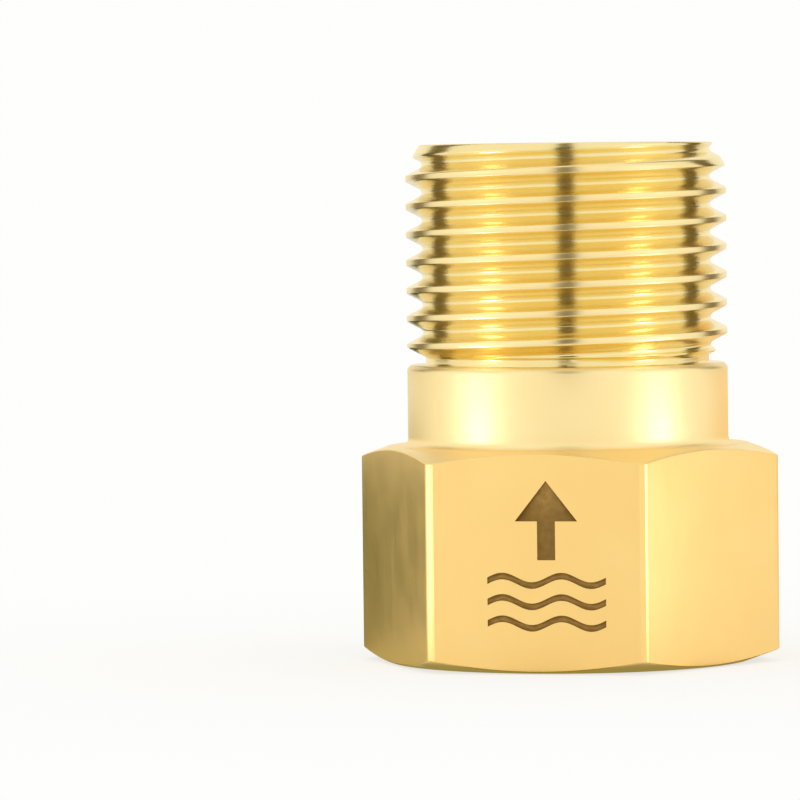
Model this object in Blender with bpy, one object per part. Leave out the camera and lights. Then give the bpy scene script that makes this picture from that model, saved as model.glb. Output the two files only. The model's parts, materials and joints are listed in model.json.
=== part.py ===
"""Spring-loaded in-line check valve: a G 1/2 socket at the bottom and a G 1/2 spigot at the top.

Metres, +Z up and along the flow. The origin is the centre of the hexagon's bottom face, and the
flat with the flow arrow faces -Y. In the names below R is a radius about Z, and Z is a height.
"""

import math

import bmesh
import bpy
from mathutils import Vector

MM = 0.001

# --- driving dimensions -------------------------------------------------------------------------

# Hexagon and collar.
ACROSS_FLATS = 24.0 * MM
HEX_EDGE_CUT = 0.3 * MM
HEX_TOP_Z = 14.0 * MM
HEX_CHAMFER_R = 11.7 * MM
HEX_CHAMFER_ANGLE = math.radians(20)
COLLAR_TOP_Z = 19.25 * MM
COLLAR_FILLET = 0.5 * MM
COLLAR_CHAMFER = 0.25 * MM

# Parallel pipe thread, 14 turns to the inch.
PITCH = 1.814 * MM
CREST_LAND = 0.38 * MM
FLANK_SLOPE = math.tan(math.radians(27.5))

# Spigot: the outside thread at the outlet. It starts at a crest on the +X side, in the collar.
SPIGOT_START_Z = 17.65 * MM
SPIGOT_TOP_Z = 33.5 * MM
SPIGOT_CREST_R = 10.4 * MM
SPIGOT_ROOT_R = 9.35 * MM
SPIGOT_RELIEF_R = 9.2 * MM
SPIGOT_RELIEF_HEIGHT = 0.5 * MM
SPIGOT_END_R = 9.5 * MM
SPIGOT_END_SLOPE = math.tan(math.radians(30))

# Waterway, from the inlet upwards. The socket's thread stands inwards, so its crest is inside.
MOUTH_R = 11.0 * MM
SOCKET_CREST_R = 9.4 * MM
SOCKET_ROOT_R = 10.5 * MM
SOCKET_THREAD_TOP_Z = 9.0 * MM
SOCKET_RELIEF_R = 10.7 * MM
GASKET_SEAT_Z = 10.8 * MM
COUNTERBORE_R = 8.7 * MM
COUNTERBORE_TOP_Z = 14.3 * MM
SNAP_GROOVE_R = 9.3 * MM
SNAP_GROOVE_Z = 11.8 * MM
SNAP_GROOVE_WIDTH = 1.0 * MM
BORE_R = 8.0 * MM
BORE_CHAMFER = 0.3 * MM

# Flow arrow and water waves, engraved on the front flat.
MARK_DEPTH = 0.2 * MM
MARK_CENTRE_X = 0.7 * MM
ARROW_BASE_Z = 7.2 * MM
ARROW_LENGTH = 5.0 * MM
ARROW_HEAD_LENGTH = 2.55 * MM
ARROW_HEAD_WIDTH = 4.0 * MM
ARROW_SHAFT_WIDTH = 1.15 * MM
WAVE_COUNT = 3
WAVE_LENGTH = 7.6 * MM
WAVE_SWING = 0.3 * MM
WAVE_THICKNESS = 0.42 * MM
WAVE_SPACING = 1.35 * MM
LOWEST_WAVE_Z = 3.2 * MM

# Cartridge housing, with the seat.
FLANGE_R = 8.55 * MM
FLANGE_BOTTOM_Z = 12.4 * MM
FLANGE_TOP_Z = 14.15 * MM
BARREL_R = 7.85 * MM
INLET_R = 7.3 * MM
FUNNEL_HEIGHT = 2.6 * MM
SEAT_R = 5.4 * MM
SEAT_Z = 17.6 * MM
CUP_R = 7.0 * MM
CUP_TOP_Z = 19.2 * MM
O_RING_Z = 16.0 * MM
O_RING_GROOVE_R = 6.75 * MM
O_RING_GROOVE_WIDTH = 2.0 * MM

# Cartridge cage: a ring with a skirt, four legs, and the hub that guides the stem.
CAGE_R = 7.8 * MM
CAGE_INNER_R = 6.45 * MM
SKIRT_R = 6.85 * MM
SKIRT_BOTTOM_Z = 18.3 * MM
CAGE_RING_BOTTOM_Z = 19.35 * MM
CAGE_RING_TOP_Z = 20.7 * MM
LEG_COUNT = 4
LEG_THICKNESS = 1.8 * MM
FIRST_LEG_ANGLE = math.radians(24)
LEG_INNER_R = 6.95 * MM
LEG_OUTER_R = 7.65 * MM
LEG_TOP_Z = 28.9 * MM
LEG_ARM_HEIGHT = 2.4 * MM
HUB_R = 4.05 * MM
HUB_BOTTOM_Z = 25.9 * MM
HUB_TOP_Z = 29.4 * MM
GUIDE_R = 1.5 * MM
POCKET_INNER_R = 2.1 * MM
POCKET_R = 3.3 * MM
POCKET_TOP_Z = 27.9 * MM

# Poppet, drawn closed: a disc on a stem, the seal under it, and the nose that clamps the seal.
STEM_R = 1.3 * MM
STEM_TOP_Z = 28.9 * MM
DISC_R = 6.0 * MM
DISC_BOTTOM_Z = 19.05 * MM
DISC_TOP_Z = 20.15 * MM
SPRING_BOSS_R = 2.2 * MM
SPRING_BOSS_TOP_Z = 20.8 * MM
SEAL_CORE_R = 4.2 * MM
PIN_R = 1.8 * MM
PIN_BOTTOM_Z = 15.7 * MM
SEAL_R = 6.2 * MM
SEAL_INNER_R = 4.35 * MM
NOSE_R = 5.0 * MM
NOSE_TOP_Z = 17.6 * MM
NOSE_TIP_Z = 13.6 * MM
NOSE_RIM = 0.4 * MM

# Spring, gasket, O-ring and snap ring.
SPRING_R = 2.65 * MM
SPRING_WIRE_R = 0.25 * MM
SPRING_TURNS = 5.5
SPRING_END_PITCH = 0.56 * MM
GASKET_R = 9.25 * MM
GASKET_INNER_R = 6.3 * MM
GASKET_BOTTOM_Z = 9.1 * MM
GASKET_THICKNESS = 1.5 * MM
O_RING_HALF_WIDTH = 0.54 * MM
O_RING_HALF_HEIGHT = 0.75 * MM
SNAP_RING_R = 8.75 * MM
SNAP_WIRE_R = 0.4 * MM
SNAP_RING_OPENING = math.radians(36)

FIT_GAP = 0.15 * MM  # between faces that touch on the real valve
OVERRUN = 2.0 * MM  # how far a cutter runs past what it cuts
EDGE = 0.3 * MM  # small chamfer on moulded edges

BODY_SEGMENTS = 48
INNER_SEGMENTS = 36


# --- making solids ------------------------------------------------------------------------------


def clear_scene():
    for thing in list(bpy.data.objects):
        bpy.data.objects.remove(thing)


def make_material(name, colour, metallic, roughness):
    made = bpy.data.materials.new(name)
    made.use_nodes = True
    shader = made.node_tree.nodes["Principled BSDF"]
    shader.inputs["Base Color"].default_value = (*colour, 1.0)
    shader.inputs["Metallic"].default_value = metallic
    shader.inputs["Roughness"].default_value = roughness
    return made


def add_object(name, shape, material=None):
    """Links a bmesh as a new object, shaded smooth with its corners left sharp."""
    bmesh.ops.recalc_face_normals(shape, faces=shape.faces)
    mesh = bpy.data.meshes.new(name)
    shape.to_mesh(mesh)
    shape.free()
    mesh.shade_smooth()
    mesh.set_sharp_from_angle(angle=math.radians(35))
    if material:
        mesh.materials.append(material)
    made = bpy.data.objects.new(name, mesh)
    bpy.context.scene.collection.objects.link(made)
    return made


def combine(target, operation, *tools):
    """Joins, cuts or trims target with each tool in turn. The tools stay as wire helpers."""
    for tool in tools:
        modifier = target.modifiers.new(tool.name, "BOOLEAN")
        modifier.operation = operation
        modifier.object = tool
        tool.hide_render = True
        tool.display_type = "WIRE"


def at_angle(radius, z, angle):
    return Vector((radius * math.cos(angle), radius * math.sin(angle), z))


def add_face(shape, corners):
    """Adds a face, leaving out repeated corners. Fewer than three corners make none."""
    corners = list(dict.fromkeys(corners))
    if len(corners) > 2:
        shape.faces.new(corners)


def turned(name, outline, segments, material=None):
    """A solid turned about Z from a closed outline of (radius, z). Radius 0 is on the axis."""
    shape = bmesh.new()
    rings = []
    for radius, z in outline:
        if radius == 0:
            rings.append([shape.verts.new((0, 0, z))] * segments)
        else:
            angles = (2 * math.pi * i / segments for i in range(segments))
            rings.append([shape.verts.new(at_angle(radius, z, angle)) for angle in angles])
    for ring, following in zip(rings, rings[1:] + rings[:1]):
        for i in range(segments):
            j = (i + 1) % segments
            add_face(shape, (ring[i], ring[j], following[j], following[i]))
    return add_object(name, shape, material)


def prism(name, near_corners, far_corners):
    """A closed prism between two outlines that have the same number of corners."""
    shape = bmesh.new()
    near = [shape.verts.new(corner) for corner in near_corners]
    far = [shape.verts.new(corner) for corner in far_corners]
    shape.faces.new(near)
    shape.faces.new(reversed(far))
    for i, corner in enumerate(near):
        j = (i + 1) % len(near)
        shape.faces.new((corner, far[i], far[j], near[j]))
    return add_object(name, shape)


def bent_wire(name, angles, ring_r, height_at, wire_r, sides, material):
    """A round wire that runs about Z through the given angles, at height_at(angle)."""
    shape = bmesh.new()
    rings = []
    for angle in angles:
        ring = []
        for k in range(sides):
            turn = 2 * math.pi * k / sides
            radius = ring_r + wire_r * math.cos(turn)
            z = height_at(angle) + wire_r * math.sin(turn)
            ring.append(shape.verts.new(at_angle(radius, z, angle)))
        rings.append(ring)
    for ring, following in zip(rings, rings[1:]):
        for k in range(sides):
            j = (k + 1) % sides
            shape.faces.new((ring[k], ring[j], following[j], following[k]))
    shape.faces.new(rings[0])
    shape.faces.new(rings[-1])
    return add_object(name, shape, material)


# --- threads ------------------------------------------------------------------------------------


def ridge_radius(height, crest_r, root_r):
    """Radius of the thread at a height above the middle of one of its crests."""
    from_crest = abs((height / PITCH + 0.5) % 1.0 - 0.5) * PITCH
    drop = max(0.0, from_crest - CREST_LAND / 2) / FLANK_SLOPE
    return max(root_r, crest_r - drop)


def threaded_rod(name, crest_r, root_r, bottom_z, top_z):
    """A solid rod with a right-hand thread and square ends.

    Each row of vertices follows the helix along a corner of the thread's outline. A row stops at
    the rod's ends, where it shares the end's vertex.
    """
    shape = bmesh.new()
    half_land = CREST_LAND / 2
    half_ridge = half_land + (crest_r - root_r) * FLANK_SLOPE
    corners = (half_land, half_ridge, PITCH - half_ridge, PITCH - half_land)
    turns = math.ceil((top_z - bottom_z) / PITCH) + 1
    rows = [PITCH * turn + corner for turn in range(-2, turns) for corner in corners]

    columns = []
    for i in range(BODY_SEGMENTS):
        climb = PITCH * i / BODY_SEGMENTS
        column = []
        last_z = None
        for row in rows:
            z = min(max(bottom_z + row + climb, bottom_z), top_z)
            if z != last_z:
                radius = ridge_radius(z - bottom_z - climb, crest_r, root_r)
                angle = 2 * math.pi * i / BODY_SEGMENTS
                vertex = shape.verts.new(at_angle(radius, z, angle))
            column.append(vertex)
            last_z = z
        columns.append(column)

    # The last column meets the first one a turn further up.
    first = columns[0]
    one_turn_up = first[len(corners) :] + [first[-1]] * len(corners)
    for column, following in zip(columns, columns[1:] + [one_turn_up]):
        for k in range(len(rows) - 1):
            add_face(shape, (column[k], following[k], following[k + 1], column[k + 1]))
    shape.faces.new([column[0] for column in columns])
    shape.faces.new([column[-1] for column in columns])
    return add_object(name, shape)


# --- valve body ---------------------------------------------------------------------------------


def hexagon_section():
    """Corners of the hexagonal bar, where a narrow flat takes off each sharp edge."""
    corner_r = ACROSS_FLATS / 2 / math.cos(math.pi / 6)
    corners = [at_angle(corner_r, 0, math.pi / 3 * i) for i in range(6)]
    section = []
    for i, corner in enumerate(corners):
        for neighbour in (corners[i - 1], corners[(i + 1) % 6]):
            section.append(corner + (neighbour - corner).normalized() * HEX_EDGE_CUT)
    return section


def hexagon():
    """The hexagonal bar, with both ends chamfered on the lathe."""
    section = hexagon_section()
    bar = prism(
        "valve_body",
        [point - Vector((0, 0, OVERRUN)) for point in section],
        [point + Vector((0, 0, HEX_TOP_Z + OVERRUN)) for point in section],
    )
    wide_r = ACROSS_FLATS
    drop = (wide_r - HEX_CHAMFER_R) * math.tan(HEX_CHAMFER_ANGLE)
    outline = [
        (0, 0),
        (HEX_CHAMFER_R, 0),
        (wide_r, drop),
        (wide_r, HEX_TOP_Z - drop),
        (HEX_CHAMFER_R, HEX_TOP_Z),
        (0, HEX_TOP_Z),
    ]
    combine(bar, "INTERSECT", turned("chamfer_envelope", outline, BODY_SEGMENTS))
    return bar


def collar():
    """The plain neck, filleted into the hexagon's top face."""
    quarter = [math.pi / 2 * i / 4 for i in range(5)]
    fillet = [
        (
            SPIGOT_CREST_R + COLLAR_FILLET * (1 - math.sin(angle)),
            HEX_TOP_Z + COLLAR_FILLET * (1 - math.cos(angle)),
        )
        for angle in quarter
    ]
    outline = [
        (0, HEX_TOP_Z - OVERRUN),
        (SPIGOT_CREST_R + COLLAR_FILLET, HEX_TOP_Z - OVERRUN),
        *fillet,
        (SPIGOT_CREST_R, COLLAR_TOP_Z - COLLAR_CHAMFER),
        (SPIGOT_CREST_R - COLLAR_CHAMFER, COLLAR_TOP_Z),
        (0, COLLAR_TOP_Z),
    ]
    return turned("collar", outline, BODY_SEGMENTS)


def spigot():
    """The outlet's thread, trimmed to a relief groove above the collar and a tapered end."""
    rod = threaded_rod(
        "spigot", SPIGOT_CREST_R, SPIGOT_ROOT_R, SPIGOT_START_Z, SPIGOT_TOP_Z + PITCH
    )
    wide_r = SPIGOT_CREST_R + EDGE
    relief_top = COLLAR_TOP_Z + SPIGOT_RELIEF_HEIGHT
    outline = [
        (0, HEX_TOP_Z),
        (SPIGOT_RELIEF_R, HEX_TOP_Z),
        (SPIGOT_RELIEF_R, relief_top),
        (wide_r, relief_top + (wide_r - SPIGOT_RELIEF_R) * FLANK_SLOPE),
        (wide_r, SPIGOT_TOP_Z - (wide_r - SPIGOT_END_R) / SPIGOT_END_SLOPE),
        (SPIGOT_END_R, SPIGOT_TOP_Z),
        (0, SPIGOT_TOP_Z),
    ]
    combine(rod, "INTERSECT", turned("spigot_blank", outline, BODY_SEGMENTS))
    return rod


def waterway():
    """Everything bored and turned inside the body, apart from the socket's thread."""
    groove_bottom = SNAP_GROOVE_Z - SNAP_GROOVE_WIDTH / 2
    groove_top = SNAP_GROOVE_Z + SNAP_GROOVE_WIDTH / 2
    outline = [
        (0, -OVERRUN),
        (MOUTH_R + OVERRUN, -OVERRUN),
        (SOCKET_CREST_R, MOUTH_R - SOCKET_CREST_R),
        (SOCKET_CREST_R, SOCKET_THREAD_TOP_Z),
        (SOCKET_RELIEF_R, SOCKET_THREAD_TOP_Z),
        (SOCKET_RELIEF_R, GASKET_SEAT_Z),
        (COUNTERBORE_R, GASKET_SEAT_Z),
        (COUNTERBORE_R, groove_bottom),
        (SNAP_GROOVE_R, groove_bottom),
        (SNAP_GROOVE_R, groove_top),
        (COUNTERBORE_R, groove_top),
        (COUNTERBORE_R, COUNTERBORE_TOP_Z),
        (BORE_R, COUNTERBORE_TOP_Z),
        (BORE_R, SPIGOT_TOP_Z - BORE_CHAMFER),
        (BORE_R + BORE_CHAMFER + OVERRUN, SPIGOT_TOP_Z + OVERRUN),
        (0, SPIGOT_TOP_Z + OVERRUN),
    ]
    return turned("waterway", outline, BODY_SEGMENTS)


def socket_tap():
    """The tap that cuts the socket's thread: a rod whose ridges reach the thread's root."""
    core_r = SOCKET_CREST_R - EDGE
    top_z = (SOCKET_THREAD_TOP_Z + GASKET_SEAT_Z) / 2
    return threaded_rod("socket_tap", SOCKET_ROOT_R, core_r, -OVERRUN, top_z)


def engraving(name, outline):
    """A cutter for the front flat, from an outline of (x, z) about the middle of the marks."""
    flat_y = -ACROSS_FLATS / 2
    points = [(MARK_CENTRE_X + x, z) for x, z in outline]
    return prism(
        name,
        [(x, flat_y - OVERRUN, z) for x, z in points],
        [(x, flat_y + MARK_DEPTH, z) for x, z in points],
    )


def arrow_outline():
    half_shaft = ARROW_SHAFT_WIDTH / 2
    half_head = ARROW_HEAD_WIDTH / 2
    tip_z = ARROW_BASE_Z + ARROW_LENGTH
    head_z = tip_z - ARROW_HEAD_LENGTH
    return [
        (-half_shaft, ARROW_BASE_Z),
        (half_shaft, ARROW_BASE_Z),
        (half_shaft, head_z),
        (half_head, head_z),
        (0, tip_z),
        (-half_head, head_z),
        (-half_shaft, head_z),
    ]


def wave_outline(middle_z):
    """A band of even height along two periods of a sine."""
    steps = 16
    xs = [WAVE_LENGTH * (i / steps - 0.5) for i in range(steps + 1)]

    def edge(side):
        lift = middle_z + side * WAVE_THICKNESS / 2
        return [(x, lift + WAVE_SWING * math.sin(4 * math.pi * x / WAVE_LENGTH)) for x in xs]

    return edge(-1) + edge(1)[::-1]


def valve_body(brass):
    body = hexagon()
    body.data.materials.append(brass)
    combine(body, "UNION", collar(), spigot())
    combine(body, "DIFFERENCE", waterway(), socket_tap())
    combine(body, "DIFFERENCE", engraving("arrow", arrow_outline()))
    for i in range(WAVE_COUNT):
        wave = wave_outline(LOWEST_WAVE_Z + i * WAVE_SPACING)
        combine(body, "DIFFERENCE", engraving(f"wave_{i + 1}", wave))


# --- cartridge ----------------------------------------------------------------------------------


def cartridge_housing(acetal):
    """Flange, barrel with the O-ring groove, inlet funnel, seat, and the cup for the cage."""
    groove_bottom = O_RING_Z - O_RING_GROOVE_WIDTH / 2
    groove_top = O_RING_Z + O_RING_GROOVE_WIDTH / 2
    quarter = [math.pi / 2 * i / 5 for i in range(6)]
    funnel = [
        (
            SEAT_R + (INLET_R - SEAT_R) * (1 - math.cos(angle)),
            FLANGE_BOTTOM_Z + FUNNEL_HEIGHT * (1 - math.sin(angle)),
        )
        for angle in quarter
    ]
    outline = [
        (FLANGE_R - EDGE, FLANGE_BOTTOM_Z),
        (FLANGE_R, FLANGE_BOTTOM_Z + EDGE),
        (FLANGE_R, FLANGE_TOP_Z),
        (BARREL_R, FLANGE_TOP_Z),
        (BARREL_R, groove_bottom),
        (O_RING_GROOVE_R, groove_bottom),
        (O_RING_GROOVE_R, groove_top),
        (BARREL_R, groove_top),
        (BARREL_R, CUP_TOP_Z),
        (CUP_R, CUP_TOP_Z),
        (CUP_R, SEAT_Z),
        (SEAT_R, SEAT_Z),
        *funnel,
    ]
    turned("cartridge_housing", outline, INNER_SEGMENTS, acetal)


def cage_leg(number):
    """A flat leg that stands on the ring and turns in to the hub."""
    angle = FIRST_LEG_ANGLE + 2 * math.pi * number / LEG_COUNT
    foot_z = (CAGE_RING_BOTTOM_Z + CAGE_RING_TOP_Z) / 2
    root_r = (POCKET_R + HUB_R) / 2
    arm_bottom_z = LEG_TOP_Z - LEG_ARM_HEIGHT
    outline = [
        (LEG_OUTER_R, foot_z),
        (LEG_OUTER_R, LEG_TOP_Z - EDGE),
        (LEG_OUTER_R - EDGE, LEG_TOP_Z),
        (root_r, LEG_TOP_Z),
        (root_r, arm_bottom_z),
        (LEG_INNER_R - EDGE, arm_bottom_z),
        (LEG_INNER_R, arm_bottom_z - EDGE),
        (LEG_INNER_R, foot_z),
    ]
    sideways = Vector((-math.sin(angle), math.cos(angle), 0)) * LEG_THICKNESS / 2
    middle = [at_angle(radius, z, angle) for radius, z in outline]
    return prism(
        f"leg_{number + 1}",
        [point - sideways for point in middle],
        [point + sideways for point in middle],
    )


def cage_hub():
    """The boss that guides the stem, with a ring pocket below for the spring."""
    outline = [
        (GUIDE_R, HUB_BOTTOM_Z),
        (POCKET_INNER_R, HUB_BOTTOM_Z),
        (POCKET_INNER_R, POCKET_TOP_Z),
        (POCKET_R, POCKET_TOP_Z),
        (POCKET_R, HUB_BOTTOM_Z),
        (HUB_R, HUB_BOTTOM_Z),
        (HUB_R, HUB_TOP_Z - EDGE),
        (HUB_R - EDGE, HUB_TOP_Z),
        (GUIDE_R + EDGE, HUB_TOP_Z),
        (GUIDE_R, HUB_TOP_Z - EDGE),
    ]
    return turned("hub", outline, INNER_SEGMENTS)


def cartridge_cage(acetal):
    outline = [
        (CAGE_INNER_R, SKIRT_BOTTOM_Z),
        (SKIRT_R, SKIRT_BOTTOM_Z),
        (SKIRT_R, CAGE_RING_BOTTOM_Z),
        (CAGE_R, CAGE_RING_BOTTOM_Z),
        (CAGE_R, CAGE_RING_TOP_Z),
        (CAGE_INNER_R, CAGE_RING_TOP_Z),
    ]
    cage = turned("cartridge_cage", outline, INNER_SEGMENTS, acetal)
    combine(cage, "UNION", *(cage_leg(number) for number in range(LEG_COUNT)), cage_hub())


def poppet_stem(acetal):
    """Stem and disc in one moulding, with a core for the seal and a pin for the nose."""
    core_bottom_z = NOSE_TOP_Z + FIT_GAP
    outline = [
        (0, PIN_BOTTOM_Z),
        (PIN_R, PIN_BOTTOM_Z),
        (PIN_R, core_bottom_z),
        (SEAL_CORE_R, core_bottom_z),
        (SEAL_CORE_R, DISC_BOTTOM_Z),
        (DISC_R, DISC_BOTTOM_Z),
        (DISC_R, DISC_TOP_Z - EDGE),
        (DISC_R - EDGE, DISC_TOP_Z),
        (SPRING_BOSS_R, DISC_TOP_Z),
        (SPRING_BOSS_R, SPRING_BOSS_TOP_Z),
        (STEM_R, SPRING_BOSS_TOP_Z),
        (STEM_R, STEM_TOP_Z - EDGE),
        (STEM_R - EDGE, STEM_TOP_Z),
        (0, STEM_TOP_Z),
    ]
    turned("poppet_stem", outline, INNER_SEGMENTS, acetal)


def poppet_seal(rubber):
    bottom_z = SEAT_Z + FIT_GAP
    top_z = DISC_BOTTOM_Z - FIT_GAP
    outline = [
        (SEAL_INNER_R, bottom_z),
        (SEAL_R - EDGE, bottom_z),
        (SEAL_R, bottom_z + EDGE),
        (SEAL_R, top_z - EDGE),
        (SEAL_R - EDGE, top_z),
        (SEAL_INNER_R, top_z),
    ]
    turned("poppet_seal", outline, INNER_SEGMENTS, rubber)


def poppet_nose(acetal):
    """The rounded cap that splits the flow and clamps the seal, bored for the poppet's pin."""
    rim_z = NOSE_TOP_Z - NOSE_RIM
    steps = 8
    angles = [math.pi / 2 * i / steps for i in range(1, steps + 1)]
    dome = [
        (NOSE_R * math.sin(angle), rim_z - (rim_z - NOSE_TIP_Z) * math.cos(angle))
        for angle in angles
    ]
    outline = [
        (0, NOSE_TIP_Z),
        *dome,
        (NOSE_R, NOSE_TOP_Z),
        (PIN_R + FIT_GAP, NOSE_TOP_Z),
        (PIN_R + FIT_GAP, PIN_BOTTOM_Z - FIT_GAP),
        (0, PIN_BOTTOM_Z - FIT_GAP),
    ]
    turned("poppet_nose", outline, INNER_SEGMENTS, acetal)


def return_spring(steel):
    """A coil from the disc to the hub's pocket, with a closed turn at each end."""
    bottom_z = DISC_TOP_Z + FIT_GAP + SPRING_WIRE_R
    top_z = POCKET_TOP_Z - FIT_GAP - SPRING_WIRE_R
    open_turns = SPRING_TURNS - 2
    open_pitch = (top_z - bottom_z - 2 * SPRING_END_PITCH) / open_turns

    def height_at(angle):
        turn = angle / (2 * math.pi)
        opened = min(max(turn - 1, 0), open_turns)
        return bottom_z + (turn - opened) * SPRING_END_PITCH + opened * open_pitch

    steps = round(SPRING_TURNS * 20)
    angles = [2 * math.pi * SPRING_TURNS * i / steps for i in range(steps + 1)]
    bent_wire("return_spring", angles, SPRING_R, height_at, SPRING_WIRE_R, 6, steel)


# --- rings in the body --------------------------------------------------------------------------


def inlet_gasket(rubber):
    top_z = GASKET_BOTTOM_Z + GASKET_THICKNESS
    outline = [
        (GASKET_INNER_R, GASKET_BOTTOM_Z),
        (GASKET_R, GASKET_BOTTOM_Z),
        (GASKET_R, top_z),
        (GASKET_INNER_R, top_z),
    ]
    turned("inlet_gasket", outline, BODY_SEGMENTS, rubber)


def cartridge_o_ring(rubber):
    """Squeezed between the groove and the bore, so its section is an upright ellipse."""
    middle_r = (O_RING_GROOVE_R + BORE_R) / 2
    sides = 10
    outline = [
        (
            middle_r + O_RING_HALF_WIDTH * math.cos(2 * math.pi * k / sides),
            O_RING_Z + O_RING_HALF_HEIGHT * math.sin(2 * math.pi * k / sides),
        )
        for k in range(sides)
    ]
    turned("cartridge_o_ring", outline, INNER_SEGMENTS, rubber)


def snap_ring(steel):
    """A round wire ring, open at the back, that keeps the cartridge in the counterbore."""
    steps = 40
    start = math.pi / 2 + SNAP_RING_OPENING / 2
    sweep = 2 * math.pi - SNAP_RING_OPENING
    angles = [start + sweep * i / steps for i in range(steps + 1)]
    bent_wire("snap_ring", angles, SNAP_RING_R, lambda angle: SNAP_GROOVE_Z, SNAP_WIRE_R, 8, steel)


def main():
    clear_scene()
    brass = make_material("brass", (0.86, 0.64, 0.26), 1.0, 0.18)
    acetal = make_material("white_acetal", (0.88, 0.85, 0.79), 0.0, 0.42)
    rubber = make_material("black_rubber", (0.03, 0.03, 0.03), 0.0, 0.6)
    steel = make_material("spring_steel", (0.62, 0.62, 0.62), 1.0, 0.25)
    valve_body(brass)
    inlet_gasket(rubber)
    snap_ring(steel)
    cartridge_housing(acetal)
    cartridge_o_ring(rubber)
    cartridge_cage(acetal)
    poppet_stem(acetal)
    poppet_seal(rubber)
    poppet_nose(acetal)
    return_spring(steel)


main()
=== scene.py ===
"""The look of the spring check valve: fine meshes round the CAD frame, materials, and the studio.

Metres, in the CAD's frame: +Z is along the flow, and the flat with the flow arrow faces -Y. In the
names below R is a radius about Z, and Z is a height. Each dimension is the CAD's own.
"""

import json
import math

import bmesh
import bpy
from mathutils import Matrix, Vector

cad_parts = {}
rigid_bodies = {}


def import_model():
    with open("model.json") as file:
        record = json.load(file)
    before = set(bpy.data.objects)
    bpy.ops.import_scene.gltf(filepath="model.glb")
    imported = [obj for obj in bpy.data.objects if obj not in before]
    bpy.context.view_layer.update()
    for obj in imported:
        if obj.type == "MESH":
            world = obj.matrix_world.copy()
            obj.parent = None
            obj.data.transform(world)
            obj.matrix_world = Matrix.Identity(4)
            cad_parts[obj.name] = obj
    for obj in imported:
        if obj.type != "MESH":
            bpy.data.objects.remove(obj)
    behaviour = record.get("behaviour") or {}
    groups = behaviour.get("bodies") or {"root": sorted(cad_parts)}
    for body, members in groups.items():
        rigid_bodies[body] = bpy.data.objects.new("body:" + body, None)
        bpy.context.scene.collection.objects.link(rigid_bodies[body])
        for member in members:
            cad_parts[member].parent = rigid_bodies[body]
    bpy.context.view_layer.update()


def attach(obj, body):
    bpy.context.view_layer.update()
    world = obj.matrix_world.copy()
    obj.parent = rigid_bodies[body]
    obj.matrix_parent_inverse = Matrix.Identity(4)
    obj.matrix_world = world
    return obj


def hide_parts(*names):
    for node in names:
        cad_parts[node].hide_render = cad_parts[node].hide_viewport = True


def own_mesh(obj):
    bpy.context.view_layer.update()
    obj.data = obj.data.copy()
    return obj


for startup_object in list(bpy.data.objects):
    bpy.data.objects.remove(startup_object)
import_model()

MM = 0.001

# --- the CAD's dimensions -----------------------------------------------------------------------

# Hexagon and collar.
ACROSS_FLATS = 24.0 * MM
HEX_EDGE_CUT = 0.3 * MM
HEX_TOP_Z = 14.0 * MM
HEX_CHAMFER_R = 11.7 * MM
HEX_CHAMFER_SLOPE = math.tan(math.radians(20))
COLLAR_TOP_Z = 19.25 * MM
COLLAR_FILLET = 0.5 * MM
COLLAR_CHAMFER = 0.25 * MM

# Parallel pipe thread, 14 turns to the inch.
PITCH = 1.814 * MM
CREST_LAND = 0.38 * MM
FLANK_SLOPE = math.tan(math.radians(27.5))

# Spigot.
SPIGOT_START_Z = 17.65 * MM
SPIGOT_TOP_Z = 33.5 * MM
SPIGOT_CREST_R = 10.4 * MM
SPIGOT_ROOT_R = 9.35 * MM
SPIGOT_RELIEF_R = 9.2 * MM
SPIGOT_RELIEF_HEIGHT = 0.5 * MM
SPIGOT_END_R = 9.5 * MM
SPIGOT_END_SLOPE = math.tan(math.radians(30))

# Waterway.
MOUTH_R = 11.0 * MM
SOCKET_CREST_R = 9.4 * MM
SOCKET_ROOT_R = 10.5 * MM
SOCKET_START_Z = -2.0 * MM
SOCKET_THREAD_TOP_Z = 9.0 * MM
SOCKET_RELIEF_R = 10.7 * MM
GASKET_SEAT_Z = 10.8 * MM
COUNTERBORE_R = 8.7 * MM
COUNTERBORE_TOP_Z = 14.3 * MM
SNAP_GROOVE_R = 9.3 * MM
SNAP_GROOVE_Z = 11.8 * MM
SNAP_GROOVE_WIDTH = 1.0 * MM
BORE_R = 8.0 * MM
BORE_CHAMFER = 0.3 * MM

# Marks on the front flat.
MARK_DEPTH = 0.2 * MM
MARK_CENTRE_X = 0.7 * MM
ARROW_BASE_Z = 7.2 * MM
ARROW_LENGTH = 5.0 * MM
ARROW_HEAD_LENGTH = 2.55 * MM
ARROW_HEAD_WIDTH = 4.0 * MM
ARROW_SHAFT_WIDTH = 1.15 * MM
WAVE_COUNT = 3
WAVE_LENGTH = 7.6 * MM
WAVE_SWING = 0.3 * MM
WAVE_THICKNESS = 0.42 * MM
WAVE_SPACING = 1.35 * MM
LOWEST_WAVE_Z = 3.2 * MM

# Cartridge housing.
FLANGE_R = 8.55 * MM
FLANGE_BOTTOM_Z = 12.4 * MM
FLANGE_TOP_Z = 14.15 * MM
BARREL_R = 7.85 * MM
INLET_R = 7.3 * MM
FUNNEL_HEIGHT = 2.6 * MM
SEAT_R = 5.4 * MM
SEAT_Z = 17.6 * MM
CUP_R = 7.0 * MM
CUP_TOP_Z = 19.2 * MM
O_RING_Z = 16.0 * MM
O_RING_GROOVE_R = 6.75 * MM
O_RING_GROOVE_WIDTH = 2.0 * MM

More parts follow.
